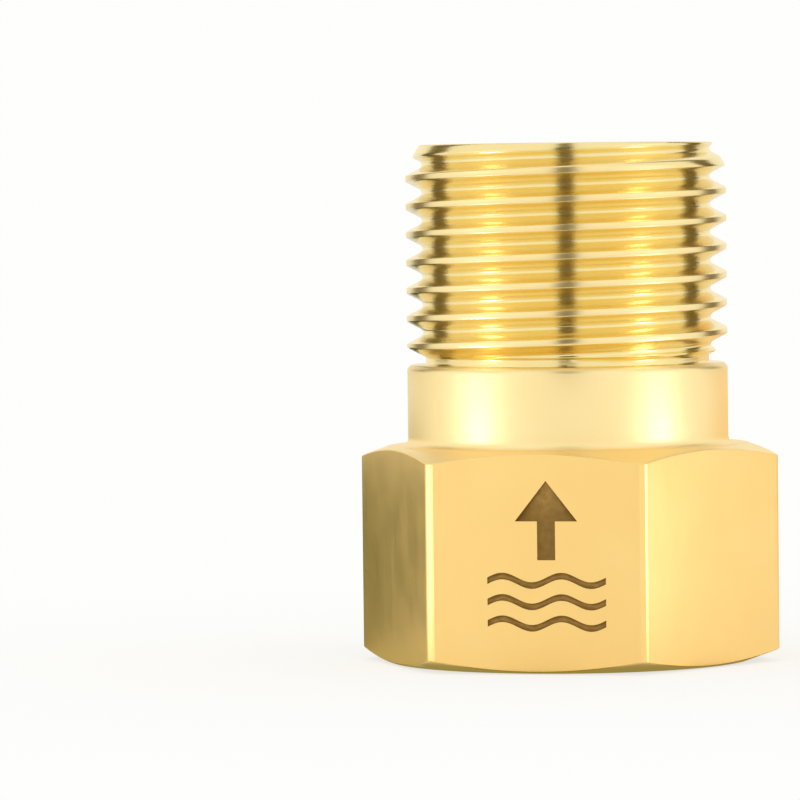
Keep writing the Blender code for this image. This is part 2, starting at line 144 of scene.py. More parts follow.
# Cartridge cage.
CAGE_R = 7.8 * MM
CAGE_INNER_R = 6.45 * MM
SKIRT_R = 6.85 * MM
SKIRT_BOTTOM_Z = 18.3 * MM
CAGE_RING_BOTTOM_Z = 19.35 * MM
CAGE_RING_TOP_Z = 20.7 * MM
LEG_COUNT = 4
LEG_THICKNESS = 1.8 * MM
FIRST_LEG_ANGLE = math.radians(24)
LEG_INNER_R = 6.95 * MM
LEG_OUTER_R = 7.65 * MM
LEG_TOP_Z = 28.9 * MM
LEG_ARM_HEIGHT = 2.4 * MM
HUB_R = 4.05 * MM
HUB_BOTTOM_Z = 25.9 * MM
HUB_TOP_Z = 29.4 * MM
GUIDE_R = 1.5 * MM
POCKET_INNER_R = 2.1 * MM
POCKET_R = 3.3 * MM
POCKET_TOP_Z = 27.9 * MM

# Poppet.
STEM_R = 1.3 * MM
STEM_TOP_Z = 28.9 * MM
DISC_R = 6.0 * MM
DISC_BOTTOM_Z = 19.05 * MM
DISC_TOP_Z = 20.15 * MM
SPRING_BOSS_R = 2.2 * MM
SPRING_BOSS_TOP_Z = 20.8 * MM
SEAL_CORE_R = 4.2 * MM
PIN_R = 1.8 * MM
PIN_BOTTOM_Z = 15.7 * MM
SEAL_R = 6.2 * MM
SEAL_INNER_R = 4.35 * MM
NOSE_R = 5.0 * MM
NOSE_TOP_Z = 17.6 * MM
NOSE_TIP_Z = 13.6 * MM
NOSE_RIM = 0.4 * MM

# Spring, gasket, O-ring and snap ring.
SPRING_R = 2.65 * MM
SPRING_WIRE_R = 0.25 * MM
SPRING_TURNS = 5.5
SPRING_END_PITCH = 0.56 * MM
GASKET_R = 9.25 * MM
GASKET_INNER_R = 6.3 * MM
GASKET_BOTTOM_Z = 9.1 * MM
GASKET_THICKNESS = 1.5 * MM
O_RING_HALF_WIDTH = 0.54 * MM
O_RING_HALF_HEIGHT = 0.75 * MM
SNAP_RING_R = 8.75 * MM
SNAP_WIRE_R = 0.4 * MM
SNAP_RING_OPENING = math.radians(36)

FIT_GAP = 0.15 * MM
EDGE = 0.3 * MM

# --- how fine the meshes are --------------------------------------------------------------------

COLUMNS_PER_FLAT = 44
SMALL_PIECE_SEGMENTS = 128
BREAK = 0.05 * MM  # the tiny bevel that each machined edge gets
CREST_ROUNDING = 0.05 * MM
MOULD_RADIUS = 0.12 * MM
SHARP_ANGLE = math.radians(50)
ALMOST_STRAIGHT = math.radians(85)  # half the angle at a corner that is too blunt to round
LONGEST_ROUNDING = 0.45  # of the shorter side at a corner
WIRE_SIDES = 20
DOME_STEPS = 5
DOME_HEIGHT = 0.6  # of the wire's radius

# --- node helpers -------------------------------------------------------------------------------


def new_material(name):
    material = bpy.data.materials.new(name)
    material.use_nodes = True
    return material, material.node_tree, material.node_tree.nodes["Principled BSDF"]


def add_node(tree, kind, inputs=None, **settings):
    """Adds a node. An input's value is a number, a colour, or another node's output socket."""
    node = tree.nodes.new(kind)
    for key, value in settings.items():
        setattr(node, key, value)
    for key, value in (inputs or {}).items():
        if isinstance(value, bpy.types.NodeSocket):
            tree.links.new(value, node.inputs[key])
        else:
            node.inputs[key].default_value = value
    return node


def maths(tree, operation, *values):
    return add_node(tree, "ShaderNodeMath", dict(enumerate(values)), operation=operation).outputs[0]


def grain(tree, scale, detail=4.0, stretch=(1, 1, 1)):
    """Noise over the object's own coordinates, each axis multiplied by stretch."""
    place = add_node(tree, "ShaderNodeTexCoord").outputs["Object"]
    mapped = add_node(tree, "ShaderNodeMapping", {"Vector": place, "Scale": stretch})
    noise = add_node(
        tree,
        "ShaderNodeTexNoise",
        {"Vector": mapped.outputs["Vector"], "Scale": scale, "Detail": detail},
    )
    return noise.outputs["Fac"]


def spread(tree, value, low, high):
    """Maps noise, which stays near the middle of 0 to 1, to low to high."""
    inputs = {"Value": value, "From Min": 0.3, "From Max": 0.7, "To Min": low, "To Max": high}
    return add_node(tree, "ShaderNodeMapRange", inputs).outputs["Result"]


def between(tree, factor, first, second):
    mix = add_node(tree, "ShaderNodeMix", {"Factor": factor}, data_type="RGBA")
    mix.inputs[6].default_value = (*first, 1.0)
    mix.inputs[7].default_value = (*second, 1.0)
    return mix.outputs[2]


def bump(tree, shader, height, distance):
    inputs = {"Height": height, "Distance": distance, "Strength": 1.0}
    node = add_node(tree, "ShaderNodeBump", inputs)
    tree.links.new(node.outputs["Normal"], shader.inputs["Normal"])


def ring_coordinates(tree):
    """Radius, and height, of a point about Z: turned and moulded marks follow these."""
    place = add_node(tree, "ShaderNodeTexCoord").outputs["Object"]
    parts = add_node(tree, "ShaderNodeSeparateXYZ", {"Vector": place}).outputs
    flat = add_node(tree, "ShaderNodeCombineXYZ", {"X": parts["X"], "Y": parts["Y"]})
    inputs = {0: flat.outputs["Vector"]}
    length = add_node(tree, "ShaderNodeVectorMath", inputs, operation="LENGTH")
    return length.outputs["Value"], parts["Z"]


def turning_lines(tree, scale):
    """Fine rings that a lathe tool leaves: noise that changes only with radius and height."""
    radius, height = ring_coordinates(tree)
    place = add_node(tree, "ShaderNodeCombineXYZ", {"X": radius, "Y": height})
    inputs = {"Vector": place.outputs["Vector"], "Scale": scale, "Detail": 3.0}
    return add_node(tree, "ShaderNodeTexNoise", inputs).outputs["Fac"]


# --- materials ----------------------------------------------------------------------------------

# One brass in three colour copies. BRASS is for the hexagon's flats. PALE_BRASS, for the turned
# faces and the crests, is paler and creamier: painted light, which makes these faces lighter than
# the same brass on the flats. THREAD_BRASS, for the thread and the bore, is paler and less orange:
# painted colour that cancels the orange of light bouncing between the thread's flanks.
BRASS = (0.985, 0.69, 0.265)
BRASS_WARM = (0.96, 0.65, 0.225)
PALE_BRASS = (0.985, 0.8, 0.42)
PALE_BRASS_WARM = (0.98, 0.76, 0.36)
THREAD_BRASS = (0.945, 0.78, 0.385)
THREAD_BRASS_WARM = (0.935, 0.75, 0.33)
MARKS_SWING = 0.018  # of the roughness


def brass(name, colours, lines, roughness, line_depth):
    """Polished brass, of two colours. lines(tree) gives the tool marks that its roughness and bump
    follow."""
    material, tree, shader = new_material(name)
    shader.inputs["Metallic"].default_value = 1.0
    patches = grain(tree, scale=180.0, detail=5.0)
    tint = spread(tree, patches, 0.0, 0.7)
    tree.links.new(between(tree, tint, *colours), shader.inputs["Base Color"])
    marks = lines(tree)
    marks_part = spread(tree, marks, -MARKS_SWING, MARKS_SWING)
    patch_part = spread(tree, grain(tree, scale=420.0), 0.96, 1.08)
    blend = maths(tree, "MULTIPLY_ADD", patch_part, roughness, marks_part)
    tree.links.new(blend, shader.inputs["Roughness"])
    bump(tree, shader, marks, line_depth)
    return material


def oxide(name):
    """The brown floor of the engraved marks."""
    material, tree, shader = new_material(name)
    pits = grain(tree, scale=2600.0, detail=6.0)
    colour = between(tree, spread(tree, pits, 0, 1), (0.38, 0.215, 0.04), (0.3, 0.16, 0.026))
    tree.links.new(colour, shader.inputs["Base Color"])
    tree.links.new(spread(tree, pits, 0.42, 0.6), shader.inputs["Roughness"])
    shader.inputs["Metallic"].default_value = 0.35
    bump(tree, shader, pits, 0.02 * MM)
    return material


def acetal(name):
    """White moulded plastic, slightly see-through, with faint flow marks."""
    material, tree, shader = new_material(name)
    flow = grain(tree, scale=260.0, detail=3.0, stretch=(1, 1, 0.4))
    colour = between(tree, spread(tree, flow, 0, 1), (0.95, 0.91, 0.775), (0.92, 0.87, 0.715))
    tree.links.new(colour, shader.inputs["Base Color"])
    shader.inputs["Subsurface Weight"].default_value = 0.35
    shader.inputs["Subsurface Radius"].default_value = (1.0, 0.8, 0.55)
    shader.inputs["Subsurface Scale"].default_value = 0.8 * MM
    shader.inputs["IOR"].default_value = 1.48
    skin = grain(tree, scale=3800.0)
    tree.links.new(spread(tree, skin, 0.34, 0.46), shader.inputs["Roughness"])
    bump(tree, shader, skin, 0.006 * MM)
    return material


def rubber(name, gloss):
    """Black moulded rubber with a bloom of grey, and a fine pebbled skin."""
    material, tree, shader = new_material(name)
    bloom = grain(tree, scale=340.0, detail=6.0)
    colour = between(tree, spread(tree, bloom, 0, 1), (0.013, 0.013, 0.014), (0.032, 0.031, 0.03))
    tree.links.new(colour, shader.inputs["Base Color"])
    skin = grain(tree, scale=5200.0, detail=2.0)
    tree.links.new(spread(tree, skin, gloss - 0.07, gloss + 0.07), shader.inputs["Roughness"])
    bump(tree, shader, skin, 0.012 * MM)
    return material


def drawn_steel(name):
    """Stainless wire with streaks from the drawing die."""
    material, tree, shader = new_material(name)
    streaks = grain(tree, scale=900.0, detail=3.0, stretch=(1, 1, 9))
    colour = between(tree, spread(tree, streaks, 0, 1), (0.66, 0.65, 0.63), (0.52, 0.51, 0.5))
    tree.links.new(colour, shader.inputs["Base Color"])
    shader.inputs["Metallic"].default_value = 1.0
    tree.links.new(spread(tree, streaks, 0.18, 0.34), shader.inputs["Roughness"])
    bump(tree, shader, streaks, 0.004 * MM)
    return material


# --- mesh helpers -------------------------------------------------------------------------------


def link_object(name, mesh, materials):
    for material in materials:
        mesh.materials.append(material)
    made = bpy.data.objects.new(name, mesh)
    bpy.context.scene.collection.objects.link(made)
    return made


def finish_shape(name, shape, materials):
    """Links a bmesh as an object, with normals that keep its flat faces flat."""
    bmesh.ops.recalc_face_normals(shape, faces=shape.faces)
    mesh = bpy.data.meshes.new(name)
    shape.to_mesh(mesh)
    shape.free()
    made = link_object(name, mesh, materials)
    mesh.shade_smooth()
    mesh.set_sharp_from_angle(angle=SHARP_ANGLE)
    weighted = made.modifiers.new("even_normals", "WEIGHTED_NORMAL")
    weighted.keep_sharp = True
    return made


def apply_modifiers(made):
    """Replaces the object's mesh by what its modifiers make of it."""
    graph = bpy.context.evaluated_depsgraph_get()
    mesh = bpy.data.meshes.new_from_object(
        made.evaluated_get(graph), preserve_all_data_layers=True, depsgraph=graph
    )
    made.modifiers.clear()
    made.data = mesh


def boolean(made, operation, tools):
    """Joins or cuts made with each tool, then removes the tools."""
    for tool in tools:
        modifier = made.modifiers.new(tool.name, "BOOLEAN")
        modifier.operation = operation
        modifier.object = tool
        modifier.material_mode = "TRANSFER"
    apply_modifiers(made)
    for tool in tools:
        bpy.data.objects.remove(tool)


def at_angle(radius, z, angle):
    return Vector((radius * math.cos(angle), radius * math.sin(angle), z))


def rounded(outline, radius, steps=4):
    """Rounds each corner of a closed (r, z) outline, by less where its sides are short."""
    made = []
    points = [Vector(point) for point in outline]
    for i, corner in enumerate(points):
        back = points[i - 1] - corner
        ahead = points[(i + 1) % len(points)] - corner
        half = back.angle(ahead) / 2
        if corner.x == 0 or half > ALMOST_STRAIGHT:
            made.append(corner)
            continue
        longest = min(back.length, ahead.length) * LONGEST_ROUNDING
        reach = min(radius / math.tan(half), longest)
        actual = reach * math.tan(half)
        centre = corner + (back.normalized() + ahead.normalized()).normalized() * (
            actual / math.sin(half)
        )
        start = corner + back.normalized() * reach - centre
        end = corner + ahead.normalized() * reach - centre
        sweep = start.angle_signed(end)
        for k in range(steps + 1):
            turn = -sweep * k / steps
            cos, sin = math.cos(turn), math.sin(turn)
            made.append(
                centre + Vector((start.x * cos - start.y * sin, start.x * sin + start.y * cos))
            )
    return [tuple(point) for point in made]


def turned(name, outline, materials, segments=SMALL_PIECE_SEGMENTS):
    """A closed solid turned about Z from a closed outline of (radius, z)."""
    shape = bmesh.new()
    rings = []
    for radius, z in outline:
        if radius == 0:
            rings.append([shape.verts.new((0, 0, z))] * segments)
        else:
            angles = (2 * math.pi * i / segments for i in range(segments))
            rings.append([shape.verts.new(at_angle(radius, z, angle)) for angle in angles])
    for ring, following in zip(rings, rings[1:] + rings[:1]):
        for i in range(segments):
            j = (i + 1) % segments
            corners = list(dict.fromkeys((ring[i], ring[j], following[j], following[i])))
            if len(corners) > 2:
                shape.faces.new(corners)
    return finish_shape(name, shape, materials)


def prism(name, near_corners, far_corners, materials):
    shape = bmesh.new()
    near = [shape.verts.new(corner) for corner in near_corners]
    far = [shape.verts.new(corner) for corner in far_corners]
    shape.faces.new(near)
    shape.faces.new(reversed(far))
    for i, corner in enumerate(near):
        j = (i + 1) % len(near)
        shape.faces.new((corner, far[i], far[j], near[j]))
    return finish_shape(name, shape, materials)


def wire(name, path, wire_r, materials, sides=WIRE_SIDES):
    """A round wire along a path of points, with domed ends."""
    shape = bmesh.new()
    rings = []
    for i, point in enumerate(path):
        ahead = path[min(i + 1, len(path) - 1)] - path[max(i - 1, 0)]
        along = ahead.normalized()
        out = Vector((point.x, point.y, 0)).normalized()
        out = (out - along * out.dot(along)).normalized()
        up = along.cross(out)
        sections = [(point, wire_r)]
        if i in (0, len(path) - 1):
            side = -1 if i == 0 else 1
            turns = [math.pi / 2 * k / (DOME_STEPS + 1) for k in range(1, DOME_STEPS + 1)]
            dome = [
                (
                    point + along * side * wire_r * DOME_HEIGHT * math.sin(turn),
                    wire_r * math.cos(turn),
                )
                for turn in turns
            ]
            sections = dome[::-1] + sections if i == 0 else sections + dome
        for centre, radius in sections:
            ring = [
                centre
                + out * radius * math.cos(2 * math.pi * k / sides)
                + up * radius * math.sin(2 * math.pi * k / sides)
                for k in range(sides)
            ]
            rings.append([shape.verts.new(place) for place in ring])
    for ring, following in zip(rings, rings[1:]):
        for k in range(sides):
            j = (k + 1) % sides
            shape.faces.new((ring[k], ring[j], following[j], following[k]))
    shape.faces.new(rings[0])
    shape.faces.new(rings[-1])
    return finish_shape(name, shape, materials)


# --- the brass body -----------------------------------------------------------------------------


def column_angles():
    """Directions of the body's columns: even along each flat, and close by each corner's cut."""
    corner_r = ACROSS_FLATS / 2 / math.cos(math.pi / 6)
    cut = math.atan2(
        HEX_EDGE_CUT * math.sin(math.pi / 3), corner_r - HEX_EDGE_CUT * math.cos(math.pi / 3)
    )
    near = BREAK / corner_r * 1.5
    angles = []
    for side in range(6):
        corner = math.pi / 3 * side
        start, end = corner + cut + near, corner + math.pi / 3 - cut - near
        angles += [corner - cut - near, corner - cut + near, corner + cut - near]
        angles += [start + (end - start) * i / COLUMNS_PER_FLAT for i in range(COLUMNS_PER_FLAT)]
    return angles


def hex_radius(angle):
    """Radius of the hexagon, its edges cut, in a direction."""
    from_corner = (angle + math.pi / 6) % (math.pi / 3) - math.pi / 6
    from_flat = math.pi / 6 - abs(from_corner)
    corner_r = ACROSS_FLATS / 2 / math.cos(math.pi / 6)
    cut_r = corner_r - HEX_EDGE_CUT * math.cos(math.pi / 3)
    return min(ACROSS_FLATS / 2 / math.cos(from_flat), cut_r / math.cos(from_corner))


def thread_radius(height, crest_r, root_r):
    """Radius of the thread at a height above the middle of one of its crests.

    The root is an arc that touches both flanks, and the crest is flat.
    """
    from_crest = abs((height / PITCH + 0.5) % 1.0 - 0.5) * PITCH
    from_root = PITCH / 2 - from_crest
    sharp_root_r = crest_r - (PITCH - CREST_LAND) / 2 / FLANK_SLOPE
    angle = math.atan(FLANK_SLOPE)
    arc_r = (root_r - sharp_root_r) * math.sin(angle) / (1 - math.sin(angle))
    if from_root < arc_r * math.cos(angle):
        return root_r + arc_r - math.sqrt(arc_r**2 - from_root**2)
    return crest_r - max(0.0, from_crest - CREST_LAND / 2) / FLANK_SLOPE


def worn_thread_radius(height, crest_r, root_r):
    """The same thread with the corners of its crests rounded."""
    samples = 5
    offsets = [CREST_ROUNDING * (2 * i / (samples - 1) - 1) for i in range(samples)]
    return sum(thread_radius(height + offset, crest_r, root_r) for offset in offsets) / samples


def thread_rows():
    """Heights above the middle of a crest, up to the next: closest where the profile bends."""
    land, half = CREST_LAND / 2, PITCH / 2
    rising = [0, land - CREST_ROUNDING, land - CREST_ROUNDING / 3, land + CREST_ROUNDING / 3]
    rising += [land + CREST_ROUNDING * k for k in (1, 3, 5.5)]
    rising += [half - PITCH * k for k in (0.15, 0.125, 0.095, 0.06, 0.03)]
    return rising + [half] + [PITCH - height for height in rising[:0:-1]]


def soft_min(a, b, width=0.05 * MM):
    share = max(width - abs(a - b), 0.0) / width
    return min(a, b) - share * share * width / 4


def spigot_radius(z, climb):
    """The outlet's thread, with its relief groove and tapered end."""
    relief_top = COLLAR_TOP_Z + SPIGOT_RELIEF_HEIGHT
    blank = min(
        SPIGOT_RELIEF_R + max(0.0, z - relief_top) / FLANK_SLOPE,
        SPIGOT_END_R + (SPIGOT_TOP_Z - z) * SPIGOT_END_SLOPE,
    )
    ridge = worn_thread_radius(z - SPIGOT_START_Z - climb, SPIGOT_CREST_R, SPIGOT_ROOT_R)
    return soft_min(ridge, blank)


def socket_radius(z, climb):
    """The inlet's thread, which stands inwards, with the funnel at its mouth."""
    groove = worn_thread_radius(z - SOCKET_START_Z - climb, SOCKET_ROOT_R, SOCKET_CREST_R)
    return -soft_min(-groove, -(MOUTH_R - z))


class Skin:
    """A closed surface made of rings round Z and of helical bands, one column per direction."""

    def __init__(self):
        self.shape = bmesh.new()
        self.angles = column_angles()
        self.first = self.last = None

    def ring(self, radius, z):
        """radius and z are numbers, or functions of the direction."""
        made = []
        for angle in self.angles:
            r = radius(angle) if callable(radius) else radius
            height = z(angle) if callable(z) else z
            made.append(self.shape.verts.new(at_angle(r, height, angle)))
        return made

    def face(self, corners, slot):
        corners = list(dict.fromkeys(corners))
        if len(corners) > 2:
            self.shape.faces.new(corners).material_index = slot

    def join(self, ring, following, slot):
        for i in range(len(ring)):
            j = (i + 1) % len(ring)
            self.face((ring[i], ring[j], following[j], following[i]), slot)

    def add(self, radius, z, slot):
        """Adds a ring and joins it to the one before, with rings that keep a wide face flat."""
        made = self.ring(radius, z)
        if self.last:
            spans = [(a.co - b.co).length for a, b in zip(self.last, made)]
            span = sum(spans) / len(spans)
            before = list(self.last)
            margin = 2 * BREAK / span
            for share in (margin, 1 - margin) if margin < 0.3 else ():
                pairs = zip(before, made)
                inner = [self.shape.verts.new(a.co.lerp(b.co, share)) for a, b in pairs]
                self.add_made(inner, slot)
        self.add_made(made, slot)

    def add_made(self, made, slot):
        if self.last:
            self.join(self.last, made, slot)
        else:
            self.first = made
        self.last = made

    def close(self, slot):
        self.join(self.last, self.first, slot)

    def band(self, radius, start_z, bottom_z, top_z, slot, downwards=False):
        """A helical band between two heights. A crest passes through start_z on the +X side."""
        per_turn = thread_rows()
        first = math.floor((bottom_z - start_z) / PITCH) - 1
        last = math.ceil((top_z - start_z) / PITCH) + 1
        rows = [start_z + PITCH * turn + row for turn in range(first, last) for row in per_turn]
        columns = []
        for angle in self.angles:
            climb = PITCH * (angle % (2 * math.pi)) / (2 * math.pi)
            column = []
            last_z = None
            for row in rows:
                z = min(max(row + climb, bottom_z), top_z)
                if z != last_z:
                    vertex = self.shape.verts.new(at_angle(radius(z, climb), z, angle))
                column.append(vertex)
                last_z = z
            columns.append(column)
        start = min(range(len(columns)), key=lambda i: self.angles[i] % (2 * math.pi))
        columns = columns[start:] + columns[:start]
        one_turn_up = columns[0][len(per_turn) :] + [columns[0][-1]] * len(per_turn)
        for column, following in zip(columns, columns[1:] + [one_turn_up]):
            for k in range(len(rows) - 1):
                self.face((column[k], following[k], following[k + 1], column[k + 1]), slot)
        columns = columns[len(columns) - start :] + columns[: len(columns) - start]
        bottom = [column[0] for column in columns]
        top = [column[-1] for column in columns]
        self.add_made(top if downwards else bottom, slot)
        self.last = bottom if downwards else top


FLATS, TURNED, THREAD, BORED, CRESTS = range(5)


def chamfer_drop(radius):
    return (radius - HEX_CHAMFER_R) * HEX_CHAMFER_SLOPE


def add_hexagon(skin):
    """From the mouth's edge, out over the hexagon, to the collar's fillet."""

    def just_inside(angle):
        return hex_radius(angle) - BREAK

    skin.add(MOUTH_R + BREAK, 0, TURNED)
    skin.add(HEX_CHAMFER_R - BREAK, 0, TURNED)
    skin.add(HEX_CHAMFER_R + BREAK, chamfer_drop(HEX_CHAMFER_R + BREAK), TURNED)
    skin.add(just_inside, lambda angle: chamfer_drop(just_inside(angle)), TURNED)
    skin.add(hex_radius, lambda angle: chamfer_drop(hex_radius(angle)) + BREAK, FLATS)
    steps = 8
    for i in range(1, steps):
        skin.add(
            hex_radius,
            lambda angle, i=i: chamfer_drop(hex_radius(angle)) * (1 - 2 * i / steps)
            + HEX_TOP_Z * i / steps,
            FLATS,
        )
    skin.add(hex_radius, lambda angle: HEX_TOP_Z - chamfer_drop(hex_radius(angle)) - BREAK, FLATS)
    skin.add(just_inside, lambda angle: HEX_TOP_Z - chamfer_drop(just_inside(angle)), FLATS)
    skin.add(HEX_CHAMFER_R + BREAK, HEX_TOP_Z - chamfer_drop(HEX_CHAMFER_R + BREAK), TURNED)
    skin.add(HEX_CHAMFER_R - BREAK, HEX_TOP_Z, TURNED)


def add_collar(skin):
    steps = 6
    for i in range(steps + 1):
        angle = math.pi / 2 * i / steps
        radius = SPIGOT_CREST_R + COLLAR_FILLET * (1 - math.sin(angle))
        skin.add(radius, HEX_TOP_Z + COLLAR_FILLET * (1 - math.cos(angle)), TURNED)
    skin.add(SPIGOT_CREST_R, COLLAR_TOP_Z - COLLAR_CHAMFER - BREAK, TURNED)
    skin.add(SPIGOT_CREST_R - BREAK, COLLAR_TOP_Z - COLLAR_CHAMFER + BREAK, TURNED)
    skin.add(SPIGOT_CREST_R - COLLAR_CHAMFER + BREAK, COLLAR_TOP_Z - BREAK, TURNED)
    skin.add(SPIGOT_CREST_R - COLLAR_CHAMFER - BREAK, COLLAR_TOP_Z, TURNED)
    skin.add(SPIGOT_RELIEF_R + BREAK, COLLAR_TOP_Z, THREAD)


def add_outlet(skin):
    skin.band(
        spigot_radius, SPIGOT_START_Z, COLLAR_TOP_Z + BREAK, SPIGOT_TOP_Z - BREAK, THREAD
    )
    # The crests are what is left of the turned bar: they get its turning lines, and its paler
    # brass, which is painted light.
    land_r = SPIGOT_CREST_R - CREST_ROUNDING / 2
    for face in skin.shape.faces:
        if face.material_index == THREAD and all(v.co.xy.length > land_r for v in face.verts):
            face.material_index = CRESTS
    skin.add(SPIGOT_END_R - BREAK, SPIGOT_TOP_Z, TURNED)
    skin.add(BORE_R + BORE_CHAMFER + BREAK, SPIGOT_TOP_Z, TURNED)
    skin.add(BORE_R + BORE_CHAMFER - BREAK, SPIGOT_TOP_Z - BREAK, TURNED)
    skin.add(BORE_R + BREAK / 2, SPIGOT_TOP_Z - BORE_CHAMFER, TURNED)
    skin.add(BORE_R, SPIGOT_TOP_Z - BORE_CHAMFER - BREAK, BORED)


def add_waterway(skin):
    groove_top = SNAP_GROOVE_Z + SNAP_GROOVE_WIDTH / 2
    groove_bottom = SNAP_GROOVE_Z - SNAP_GROOVE_WIDTH / 2
    steps = 10
    for i in range(1, steps):
        top = SPIGOT_TOP_Z - BORE_CHAMFER
        skin.add(BORE_R, top + (COUNTERBORE_TOP_Z - top) * i / steps, BORED)
    outline = [
        (BORE_R, COUNTERBORE_TOP_Z + BREAK),
        (BORE_R + BREAK, COUNTERBORE_TOP_Z),
        (COUNTERBORE_R - BREAK, COUNTERBORE_TOP_Z),
        (COUNTERBORE_R, COUNTERBORE_TOP_Z - BREAK),
        (COUNTERBORE_R, groove_top + BREAK),
        (COUNTERBORE_R + BREAK, groove_top),
        (SNAP_GROOVE_R - BREAK, groove_top),
        (SNAP_GROOVE_R, groove_top - BREAK),
        (SNAP_GROOVE_R, groove_bottom + BREAK),
        (SNAP_GROOVE_R - BREAK, groove_bottom),
        (COUNTERBORE_R + BREAK, groove_bottom),
        (COUNTERBORE_R, groove_bottom - BREAK),
        (COUNTERBORE_R, GASKET_SEAT_Z + BREAK),
        (COUNTERBORE_R + BREAK, GASKET_SEAT_Z),
        (SOCKET_RELIEF_R - BREAK, GASKET_SEAT_Z),
        (SOCKET_RELIEF_R, GASKET_SEAT_Z - BREAK),
        (SOCKET_RELIEF_R, SOCKET_THREAD_TOP_Z + BREAK),
        (SOCKET_RELIEF_R - BREAK, SOCKET_THREAD_TOP_Z),
    ]
    for radius, z in outline:
        skin.add(radius, z, BORED)
    skin.band(
        socket_radius, SOCKET_START_Z, BREAK, SOCKET_THREAD_TOP_Z, THREAD, downwards=True
    )
    skin.close(TURNED)


def arrow_outline():
    half_shaft = ARROW_SHAFT_WIDTH / 2
    half_head = ARROW_HEAD_WIDTH / 2
    tip_z = ARROW_BASE_Z + ARROW_LENGTH
    head_z = tip_z - ARROW_HEAD_LENGTH
    return [
        (-half_shaft, ARROW_BASE_Z),
        (half_shaft, ARROW_BASE_Z),
        (half_shaft, head_z),
        (half_head, head_z),
        (0, tip_z),
        (-half_head, head_z),
        (-half_shaft, head_z),
    ]


def wave_outline(middle_z):
    """A band of even height along two periods of a sine."""
    steps = 64
    xs = [WAVE_LENGTH * (i / steps - 0.5) for i in range(steps + 1)]

    def edge(side):
        lift = middle_z + side * WAVE_THICKNESS / 2
        return [(x, lift + WAVE_SWING * math.sin(4 * math.pi * x / WAVE_LENGTH)) for x in xs]

    return edge(-1) + edge(1)[::-1]


def mark_cutters(material):
    outlines = [arrow_outline()]
    outlines += [wave_outline(LOWEST_WAVE_Z + i * WAVE_SPACING) for i in range(WAVE_COUNT)]
    flat_y = -ACROSS_FLATS / 2
    return [
        prism(
            f"mark_{number}",
            [(MARK_CENTRE_X + x, flat_y - MARK_DEPTH, z) for x, z in outline],
            [(MARK_CENTRE_X + x, flat_y + MARK_DEPTH, z) for x, z in outline],
            [material],
        )
        for number, outline in enumerate(outlines)
    ]


def drawn_lines(tree):
    return grain(tree, scale=4200.0, detail=3.0, stretch=(1, 1, 0.02))


def brass_body():
    warm = (BRASS, BRASS_WARM)
    # pale and deep are copies of the brass with painted light: see their colours above.
    pale = (PALE_BRASS, PALE_BRASS_WARM)
    deep = (THREAD_BRASS, THREAD_BRASS_WARM)
    materials = [
        brass("brass_flats", warm, drawn_lines, 0.36, 0.0005 * MM),
        brass("brass_turned", pale, lambda tree: turning_lines(tree, 2600.0), 0.42, 0.0012 * MM),
        brass("brass_thread", deep, lambda tree: turning_lines(tree, 5000.0), 0.21, 0.0004 * MM),
        brass("brass_bored", deep, lambda tree: turning_lines(tree, 1700.0), 0.3, 0.0015 * MM),
        brass("brass_crests", pale, lambda tree: turning_lines(tree, 2600.0), 0.3, 0.001 * MM),
    ]
    skin = Skin()
    add_hexagon(skin)
    add_collar(skin)
    add_outlet(skin)
    add_waterway(skin)
    body = finish_shape("brass_body", skin.shape, materials)
    body.modifiers.clear()
    boolean(body, "DIFFERENCE", mark_cutters(oxide("mark_oxide")))
    body.data.set_sharp_from_angle(angle=SHARP_ANGLE)
    for face in body.data.polygons:
        face.use_smooth = face.material_index != FLATS or abs(face.normal.z) > 0.01
    return body


# --- cartridge and rings ------------------------------------------------------------------------


def cartridge_housing(plastic):
    groove_bottom = O_RING_Z - O_RING_GROOVE_WIDTH / 2
    groove_top = O_RING_Z + O_RING_GROOVE_WIDTH / 2
    steps = 16
    funnel = [
        (
            SEAT_R + (INLET_R - SEAT_R) * (1 - math.cos(math.pi / 2 * i / steps)),
            FLANGE_BOTTOM_Z + FUNNEL_HEIGHT * (1 - math.sin(math.pi / 2 * i / steps)),
        )
        for i in range(steps + 1)
    ]
    outline = [
        (FLANGE_R - EDGE, FLANGE_BOTTOM_Z),
        (FLANGE_R, FLANGE_BOTTOM_Z + EDGE),
        (FLANGE_R, FLANGE_TOP_Z),
        (BARREL_R, FLANGE_TOP_Z),
        (BARREL_R, groove_bottom),
        (O_RING_GROOVE_R, groove_bottom),
        (O_RING_GROOVE_R, groove_top),
        (BARREL_R, groove_top),
        (BARREL_R, CUP_TOP_Z),
        (CUP_R, CUP_TOP_Z),
        (CUP_R, SEAT_Z),
        (SEAT_R, SEAT_Z),
        *funnel,
    ]
    return turned("housing", rounded(outline, MOULD_RADIUS), [plastic])


